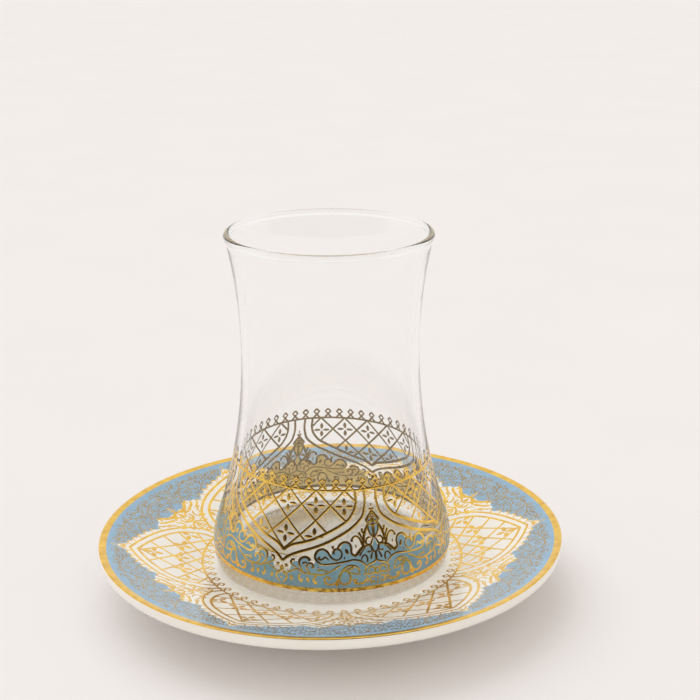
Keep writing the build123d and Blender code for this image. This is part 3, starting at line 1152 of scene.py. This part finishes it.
# curls of the blue border: place, size, start and sweep in degrees, and the stem that leads in
BORDER_CURLS = (
    ((3.4, 55.0), 1.0, -120, 420, ((5.8, 53.2), (4.6, 54.1))),
    ((7.6, 54.8), 1.15, -100, -430, ((5.4, 53.3), (6.4, 53.8))),
    ((5.6, 51.9), 0.8, 120, 380, ((8.2, 53.3), (7.2, 52.6))),
    ((9.4, 51.4), 1.25, 60, 430, ((12.6, 54.5), (11.6, 53.4), (10.6, 52.6))),
    ((11.4, 55.2), 0.7, -70, 360, ((13.0, 54.6), (12.2, 54.6))),
    ((13.6, 52.6), 1.2, 80, -420, ((15.6, 54.3), (14.6, 54.0))),
    ((16.2, 55.2), 0.8, -110, 380, ((13.8, 54.6), (15.2, 54.6))),
    ((13.0, 50.0), 1.0, 40, 400, ((16.4, 53.0), (15.2, 51.6), (14.2, 50.8))),
    ((16.8, 50.4), 1.35, 70, -430, ((20.0, 52.0), (18.6, 51.9))),
    ((16.2, 48.0), 0.9, 60, 400, ((19.6, 50.2), (18.2, 49.2))),
    ((19.8, 54.6), 1.35, -60, 430, ((22.4, 51.6), (21.9, 53.0), (21.4, 54.0))),
    ((20.6, 49.2), 1.2, 90, 420, ((24.0, 51.8), (22.6, 51.0), (21.6, 50.6))),
    ((24.2, 54.4), 1.1, -80, -420, ((22.0, 51.8), (22.8, 52.9))),
    ((24.8, 49.8), 1.3, 80, -430, ((28.4, 53.0), (27.0, 52.1), (25.6, 51.4))),
    ((28.0, 54.8), 1.0, -100, 400, ((26.0, 52.7), (26.6, 54.0))),
    ((28.2, 48.8), 0.95, 90, 400, ((30.0, 51.4), (29.2, 50.4))),
)
# its loose petals: start, end and weight
BORDER_PETALS = (
    ((2.0, 53.6), (3.3, 52.5), 2.0), ((6.6, 54.0), (5.6, 55.1), 1.8), ((9.8, 54.0), (9.4, 55.4), 2.0),
    ((10.8, 54.0), (11.8, 52.2), 1.8), ((14.8, 54.6), (13.8, 55.5), 1.8),
    ((16.8, 53.8), (17.8, 54.9), 2.0), ((11.0, 51.0), (12.2, 49.4), 1.8),
    ((15.4, 49.4), (14.2, 47.9), 1.6), ((18.0, 53.0), (17.0, 52.0), 1.8),
    ((21.2, 51.5), (20.2, 52.9), 1.6), ((22.6, 53.4), (22.0, 55.4), 2.0),
    ((23.6, 51.7), (22.8, 50.2), 1.8), ((18.6, 48.8), (19.2, 47.4), 1.6),
    ((22.6, 49.0), (23.0, 47.6), 1.6), ((25.8, 52.6), (26.6, 55.2), 1.8),
    ((27.0, 50.8), (27.4, 49.8), 1.8), ((24.8, 55.4), (26.4, 55.2), 1.6),
    ((17.8, 55.4), (19.2, 55.5), 1.4), ((8.6, 55.6), (10.2, 55.4), 1.4),
)


def saucer_scroll_strokes():
    """The fine scrollwork of the saucer's blue border, between a medallion's axis and the next wing."""
    vine = s_soft((1.4, 55.0), (3.4, 54.1), (5.8, 53.2), (8.6, 53.4), (11.4, 54.4), (14.2, 54.6),
                  (17.0, 53.8), (19.4, 52.2), (22.2, 51.6), (25.2, 52.4), (27.8, 53.4), (30.0, 53.2),
                  weight=1.2)
    curls = [s_curl(*curl) for curl in BORDER_CURLS]
    stems = [s_soft((18.6, 52.7), (20.4, 50.9), (23.0, 48.6), (25.6, 47.9), weight=1.1),
             s_soft((27.2, 53.2), (29.0, 51.8), (30.0, 50.2), weight=1.1)]
    return [vine] + curls + stems + [s_petal(*petal) for petal in BORDER_PETALS]


# the inner edge of the saucer's blue border: degrees from the medallion's axis, radius
BLUE_RIM = ((0, 54.5), (1.2, 53.5), (2.4, 52.0), (3.6, 51.9), (4.7, 51.0), (6.2, 51.2), (7.4, 50.1),
            (9.0, 50.2), (10.3, 49.1), (11.8, 49.2), (13.2, 47.9), (14.8, 47.8), (16.2, 46.4),
            (17.6, 46.2), (18.8, 47.4), (20.3, 47.3), (21.5, 48.3), (22.9, 48.1), (24.0, 47.2),
            (25.8, 46.5), (28.0, 46.7), (SIXTH / 2, 46.3))


def blue_rim(angle):
    """Radius where the blue border starts, at an angle in degrees."""
    a = abs((angle + SIXTH / 2) % SIXTH - SIXTH / 2)
    for (a1, r1), (a2, r2) in zip(BLUE_RIM, BLUE_RIM[1:]):
        if a1 <= a <= a2:
            return r1 + (r2 - r1) * (a - a1) / (a2 - a1)
    return BLUE_RIM[-1][1]


# ------------------------------------------------------------------ operators
GLASS_SIDES, SAUCER_SIDES = 192, 240   # steps that each section is spun in
ENAMEL_SINK = 0.75     # the blue on the glass is fused in less deep than the gold, by this share
BAND_RISE = 0.7        # the gold band on the saucer's lip stands less proud than a line, by this share


class TEAGLASS_OT_glass(bpy.types.Operator):
    """Spin the clear glass: thick base, waist and fire-rounded lip"""
    bl_idname = "tea_glass.glass"
    bl_label = "Clear glass"

    def execute(self, context):
        piece = spun(glass_section(), GLASS_SIDES)
        finish_piece(piece, "glass_wall", [clear_glass("clear_glass")])
        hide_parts("tea_glass")
        return {"FINISHED"}


def glass_ornament(name, side, middle, width, copies=4, step=QUARTER, start=0.0):
    """Draw a motif, repeat it round the sheet, wrap it on the glass and finish it in gold."""
    piece = mirrored(side, middle, width, "X")
    repeated(piece, copies, step * SHEET * MM, start * SHEET * MM)
    lay_on_glass(piece, width)
    return finish_piece(piece, name, [shared(gold_on_glass)], angle=FLAT_PRINT)


class TEAGLASS_OT_glass_frieze(bpy.types.Operator):
    """Print the frieze of open diamonds, its line and the low gold band"""
    bl_idname = "tea_glass.glass_frieze"
    bl_label = "Glass: frieze"

    def execute(self, context):
        p = context.scene.print_sizes
        step = 360 / FRIEZE_COUNT
        glass_ornament("glass_frieze_diamonds", frieze_strokes(), [], p.line,
                       copies=FRIEZE_COUNT, step=step, start=step / 2)
        for name, height, width in (("glass_frieze_line", FRIEZE_HEIGHT, p.line),
                                    ("glass_low_band", BAND_HEIGHT, BAND_WIDTH * MM)):
            line = drawn([g_sharp((0, height), (360, height))], width, caps=False)
            lay_on_glass(line, width)
            finish_piece(line, name, [shared(gold_on_glass)])
        return {"FINISHED"}


class TEAGLASS_OT_glass_medallions(bpy.types.Operator):
    """Print the double outlines, the lattice and its flowers"""
    bl_idname = "tea_glass.glass_medallions"
    bl_label = "Glass: medallions"

    def execute(self, context):
        p = context.scene.print_sizes
        outlines = [g_soft(*edge, start=1.0, end=1.0) for edge in (INNER_EDGE, OUTER_EDGE)]
        glass_ornament("glass_outlines", outlines, [], p.bold)
        glass_ornament("glass_lattice", [lattice_line(across) for across in LINES], [], p.line)
        glass_ornament("glass_flowers", *flower_strokes(), p.line)
        return {"FINISHED"}


class TEAGLASS_OT_glass_finials(bpy.types.Operator):
    """Print the standing ornaments between the medallions"""
    bl_idname = "tea_glass.glass_finials"
    bl_label = "Glass: finials"

    def execute(self, context):
        glass_ornament("glass_finials", *finial_strokes(), context.scene.print_sizes.scroll, start=FINIAL)
        return {"FINISHED"}


class TEAGLASS_OT_glass_scrolls(bpy.types.Operator):
    """Print the gold scrollwork of the blue zone"""
    bl_idname = "tea_glass.glass_scrolls"
    bl_label = "Glass: scrolls"

    def execute(self, context):
        glass_ornament("glass_scrolls", *scroll_strokes(), context.scene.print_sizes.scroll)
        return {"FINISHED"}


class TEAGLASS_OT_glass_blue(bpy.types.Operator):
    """Fire the blue enamel behind the scrollwork and the finials"""
    bl_idname = "tea_glass.glass_blue"
    bl_label = "Glass: blue enamel"

    def execute(self, context):
        p = context.scene.print_sizes

        def round_the_glass(t, v):
            return 360 * t * SHEET * MM, v * MM, 0.0

        def fill_height(t):
            return FILL_LOW + FILL_RISE * t

        def fill_edge(t):
            return fill_width(fill_height(t)) * SHEET

        def up_the_finial(t, w):
            return (FINIAL * SHEET + w) * MM, fill_height(t) * MM, 0.0

        field = enamel_field(lambda t: BLUE_LOW, lambda t: blue_top(360 * t), round_the_glass)
        lay_on_glass(field)
        fill = enamel_field(fill_edge, lambda t: -fill_edge(t), up_the_finial, columns=24, rows=4)
        repeated(fill, 4, QUARTER * SHEET * MM)
        lay_on_glass(fill)
        field = join([field, fill])
        give_thickness(field, p.blue_rise, ENAMEL_SINK * p.sink, [shared(blue_enamel), shared(enamel_back)])
        finish_piece(field, "glass_blue_enamel")
        return {"FINISHED"}


class TEAGLASS_OT_saucer(bpy.types.Operator):
    """Spin the porcelain saucer with its foot ring and upright lip"""
    bl_idname = "tea_glass.saucer"
    bl_label = "Porcelain saucer"

    def execute(self, context):
        piece = spun(saucer_section(), SAUCER_SIDES)
        # not shared, like the glass
        finish_piece(piece, "saucer_dish", [porcelain("porcelain")])
        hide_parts("saucer")
        return {"FINISHED"}


def saucer_ornament(name, side, middle, width, copies=6, turn=0.0, finish=gold_print, **options):
    """Draw a motif about its axis, copy it round the saucer, lay it down and finish it in gold."""
    piece = mirrored(side, middle, width, "Y", **options)
    if turn:
        pick(piece)
        piece.rotation_euler.z = radians(turn)
        bpy.ops.object.transform_apply(rotation=True)
    turned_copies(piece, copies)
    lay_on_saucer(piece, width)
    return finish_piece(piece, name, [shared(finish)], angle=FLAT_PRINT)


class TEAGLASS_OT_saucer_well(bpy.types.Operator):
    """Print the line and the small diamonds round the well"""
    bl_idname = "tea_glass.saucer_well"
    bl_label = "Saucer: well frieze"

    def execute(self, context):
        p = context.scene.print_sizes
        saucer_ornament("saucer_well_diamonds", well_frieze_strokes(), [], p.fine, copies=WELL_DIAMONDS)
        ring = drawn([s_sharp(*[(a, WELL_LINE) for a in range(0, 360, 2)], closed=True)], p.mesh)
        lay_on_saucer(ring, p.mesh)
        finish_piece(ring, "saucer_well_line", [shared(gold_print)])
        return {"FINISHED"}


class TEAGLASS_OT_saucer_medallions(bpy.types.Operator):
    """Print the saucer's double outlines, lattice and flowers"""
    bl_idname = "tea_glass.saucer_medallions"
    bl_label = "Saucer: medallions"

    def execute(self, context):
        p = context.scene.print_sizes
        outlines = [s_soft(*edge, start=1.0, end=1.0) for edge in (SAUCER_INNER, SAUCER_OUTER)]
        saucer_ornament("saucer_outlines", outlines, [], p.bold)
        saucer_ornament("saucer_lattice", [mesh_line(across) for across in LINES], [], p.mesh)
        saucer_ornament("saucer_flowers", *saucer_flower_strokes(), p.line)
        return {"FINISHED"}


class TEAGLASS_OT_saucer_leaves(bpy.types.Operator):
    """Print the buds and leaves outside the medallions, and the wings between them"""
    bl_idname = "tea_glass.saucer_leaves"
    bl_label = "Saucer: buds and wings"

    def execute(self, context):
        p = context.scene.print_sizes
        saucer_ornament("saucer_buds", *bud_strokes(), p.line)
        saucer_ornament("saucer_wings", *wing_strokes(), p.fine, turn=SIXTH / 2)
        return {"FINISHED"}


class TEAGLASS_OT_saucer_scrolls(bpy.types.Operator):
    """Print the fine scrollwork of the saucer's border"""
    bl_idname = "tea_glass.saucer_scrolls"
    bl_label = "Saucer: scrolls"

    def execute(self, context):
        width = context.scene.print_sizes.fine
        for name, strokes in (("saucer_scrolls", saucer_scroll_strokes()),
                              ("saucer_leaves", saucer_leaf_strokes())):
            saucer_ornament(name, strokes, [], width, finish=thin_gold, steps=3)
        return {"FINISHED"}


class TEAGLASS_OT_saucer_blue(bpy.types.Operator):
    """Fire the blue border and the gold band on the lip"""
    bl_idname = "tea_glass.saucer_blue"
    bl_label = "Saucer: blue border and gold band"

    def execute(self, context):
        p = context.scene.print_sizes

        def round_the_saucer(t, r):
            angle = 2 * pi * t
            return r * MM * cos(angle), r * MM * sin(angle), 0.0

        for name, slot, finish, outer, inner, rise in (
                ("saucer_blue_enamel", "blue_print", saucer_enamel,
                 lambda t: BLUE_RADIUS, lambda t: blue_rim(360 * t), p.blue_rise),
                ("saucer_gold_band", "gold_print", gold_print,
                 lambda t: BAND_RADII[1], lambda t: BAND_RADII[0], BAND_RISE * p.gold_rise)):
            band = enamel_field(outer, inner, round_the_saucer)
            lay_on_saucer(band)
            give_thickness(band, rise, p.sink, [shared(finish)])
            finish_piece(band, name)
        return {"FINISHED"}


# ------------------------------------------------------------------ the stage
FLOOR_SIZE, FLOOR_MIDDLE = 8.0, (0, 1.5, 0)
ROOM_LIGHT = 0.79
ROOM_COLOUR = (1.0, 0.948, 0.88)
SEEN_ROOM = (0.93, 0.915, 0.90)        # the room as the eye, the glass and the gold see it
SEEN_DARK = (0.035, 0.022, 0.012)      # its dark side, in mirror reflections only
DARK_SIDE = (0.0, -0.95, 0.31)
DARK_FADE = (0.1, 0.45)                # where the dark side starts and where it is full
KEY_LIGHT = 1.0
KEY_COLOUR = (0.862, 0.929, 0.997)
KEY_PLACE = (-0.4, 0.5, 0.8)
KEY_TURN = (radians(-38), radians(-19), 0.0)
KEY_SPREAD = radians(60)
# light that is caught in the thick glass has to bounce often before it leaves
BOUNCES = {"max_bounces": 36, "glossy_bounces": 28, "transmission_bounces": 32, "transparent_max_bounces": 24}
CAMERA_PLACE = (-0.0293, -0.36505, 0.1782)
CAMERA_YAW, CAMERA_DIP, CAMERA_ROLL = 0.157, 0.265, 0.010
CAMERA_LENS = 79.0
CAMERA_SHIFT = (-0.1346, -0.0936)


def light_the_room(scene):
    """A plain pale room, darker behind the viewer in reflections only, and one broad soft key light."""
    world = scene.world or bpy.data.worlds.new("world")
    scene.world = world
    world.use_nodes = True
    tree = Tree(world.node_tree)
    room = tree.nodes["Background"]
    tree.feed(room, {"Color": ROOM_COLOUR, "Strength": ROOM_LIGHT})
    place, path = tree.add("TexCoord"), tree.add("LightPath")
    facing = tree.reckon_vector("DOT_PRODUCT", place.outputs["Generated"], DARK_SIDE)
    shade = tree.graded(facing, start=DARK_FADE[0], end=DARK_FADE[1], interpolation_type="SMOOTHSTEP")
    kinds = ("Camera", "Glossy", "Transmission")
    looked, glossy, through = (path.outputs[f"Is {kind} Ray"] for kind in kinds)
    mirrored_only = tree.reckon("MAXIMUM", tree.reckon("SUBTRACT", glossy, through), 0.0)
    dark = tree.reckon("MULTIPLY", mirrored_only, shade)
    seen = tree.add("Background", {"Color": tree.blended(dark, SEEN_ROOM, SEEN_DARK)})
    shown = tree.reckon("MAXIMUM", tree.reckon("MAXIMUM", looked, glossy), through)
    surface = tree.either(shown, room.outputs["Background"], seen.outputs["Background"])
    tree.feed(tree.nodes["World Output"], {"Surface": surface})
    deselect()
    bpy.ops.object.light_add(type="SUN", location=KEY_PLACE)
    key = bpy.context.object
    key.name = "key_light"
    key.data.energy = KEY_LIGHT
    key.data.angle = KEY_SPREAD
    key.data.color = KEY_COLOUR
    # the key lamp lights, and no glare of it shows on the gold or in the thick base
    key.visible_transmission = key.visible_glossy = False
    key.rotation_euler = KEY_TURN


def place_camera(scene):
    """Set the camera a little above the glass, looking down on the saucer."""
    deselect()
    bpy.ops.object.camera_add(location=CAMERA_PLACE)
    camera = bpy.context.object
    ahead = Vector((sin(CAMERA_YAW) * cos(CAMERA_DIP), cos(CAMERA_YAW) * cos(CAMERA_DIP), -sin(CAMERA_DIP)))
    level = Vector((cos(CAMERA_YAW), -sin(CAMERA_YAW), 0.0))
    upright = level.cross(ahead)
    right = level * cos(CAMERA_ROLL) + upright * sin(CAMERA_ROLL)
    up = upright * cos(CAMERA_ROLL) - level * sin(CAMERA_ROLL)
    turn = Matrix((right, up, -ahead)).transposed().to_4x4()
    camera.matrix_world = Matrix.Translation(camera.location) @ turn
    camera.data.lens = CAMERA_LENS
    camera.data.shift_x, camera.data.shift_y = CAMERA_SHIFT
    scene.camera = camera


class TEAGLASS_OT_stage(bpy.types.Operator):
    """Set the pale floor, the soft lights and the camera"""
    bl_idname = "tea_glass.stage"
    bl_label = "Stage"

    def execute(self, context):
        scene = context.scene
        scene.view_settings.view_transform = "Standard"
        deselect()
        bpy.ops.mesh.primitive_plane_add(size=FLOOR_SIZE, location=FLOOR_MIDDLE)
        floor = context.object
        bpy.ops.object.transform_apply(location=True)
        floor.name = "floor"
        floor.data.materials.append(shared(backdrop))
        light_the_room(scene)
        for name, count in BOUNCES.items():
            setattr(scene.cycles, name, count)
        place_camera(scene)
        return {"FINISHED"}


STEPS = ("stage", "glass", "glass_frieze", "glass_medallions", "glass_finials", "glass_scrolls",
         "glass_blue", "saucer", "saucer_blue", "saucer_well", "saucer_medallions", "saucer_leaves",
         "saucer_scrolls")


class TEAGLASS_PT_panel(bpy.types.Panel):
    bl_label = "Tea Glass"
    bl_idname = "TEAGLASS_PT_panel"
    bl_space_type = "VIEW_3D"
    bl_region_type = "UI"
    bl_category = "Tea Glass"

    def draw(self, context):
        for step in STEPS:
            self.layout.operator("tea_glass." + step)


GROUPS = {"glass_sizes": GlassSizes, "saucer_sizes": SaucerSizes, "print_sizes": PrintSizes,
          "finishes": Finishes}
CLASSES = (TEAGLASS_OT_stage, TEAGLASS_OT_glass, TEAGLASS_OT_glass_frieze, TEAGLASS_OT_glass_medallions,
           TEAGLASS_OT_glass_finials, TEAGLASS_OT_glass_scrolls, TEAGLASS_OT_glass_blue,
           TEAGLASS_OT_saucer, TEAGLASS_OT_saucer_blue, TEAGLASS_OT_saucer_well,
           TEAGLASS_OT_saucer_medallions, TEAGLASS_OT_saucer_leaves, TEAGLASS_OT_saucer_scrolls,
           TEAGLASS_PT_panel)


def register():
    for name, group in GROUPS.items():
        bpy.utils.register_class(group)
        setattr(bpy.types.Scene, name, bpy.props.PointerProperty(type=group))
    for cls in CLASSES:
        bpy.utils.register_class(cls)


def unregister():
    for cls in reversed(CLASSES):
        bpy.utils.unregister_class(cls)
    for name, group in GROUPS.items():
        delattr(bpy.types.Scene, name)
        bpy.utils.unregister_class(group)


def main():
    register()
    for step in STEPS:
        getattr(bpy.ops.tea_glass, step)()
    bpy.context.view_layer.update()


if __name__ == "__main__":
    main()
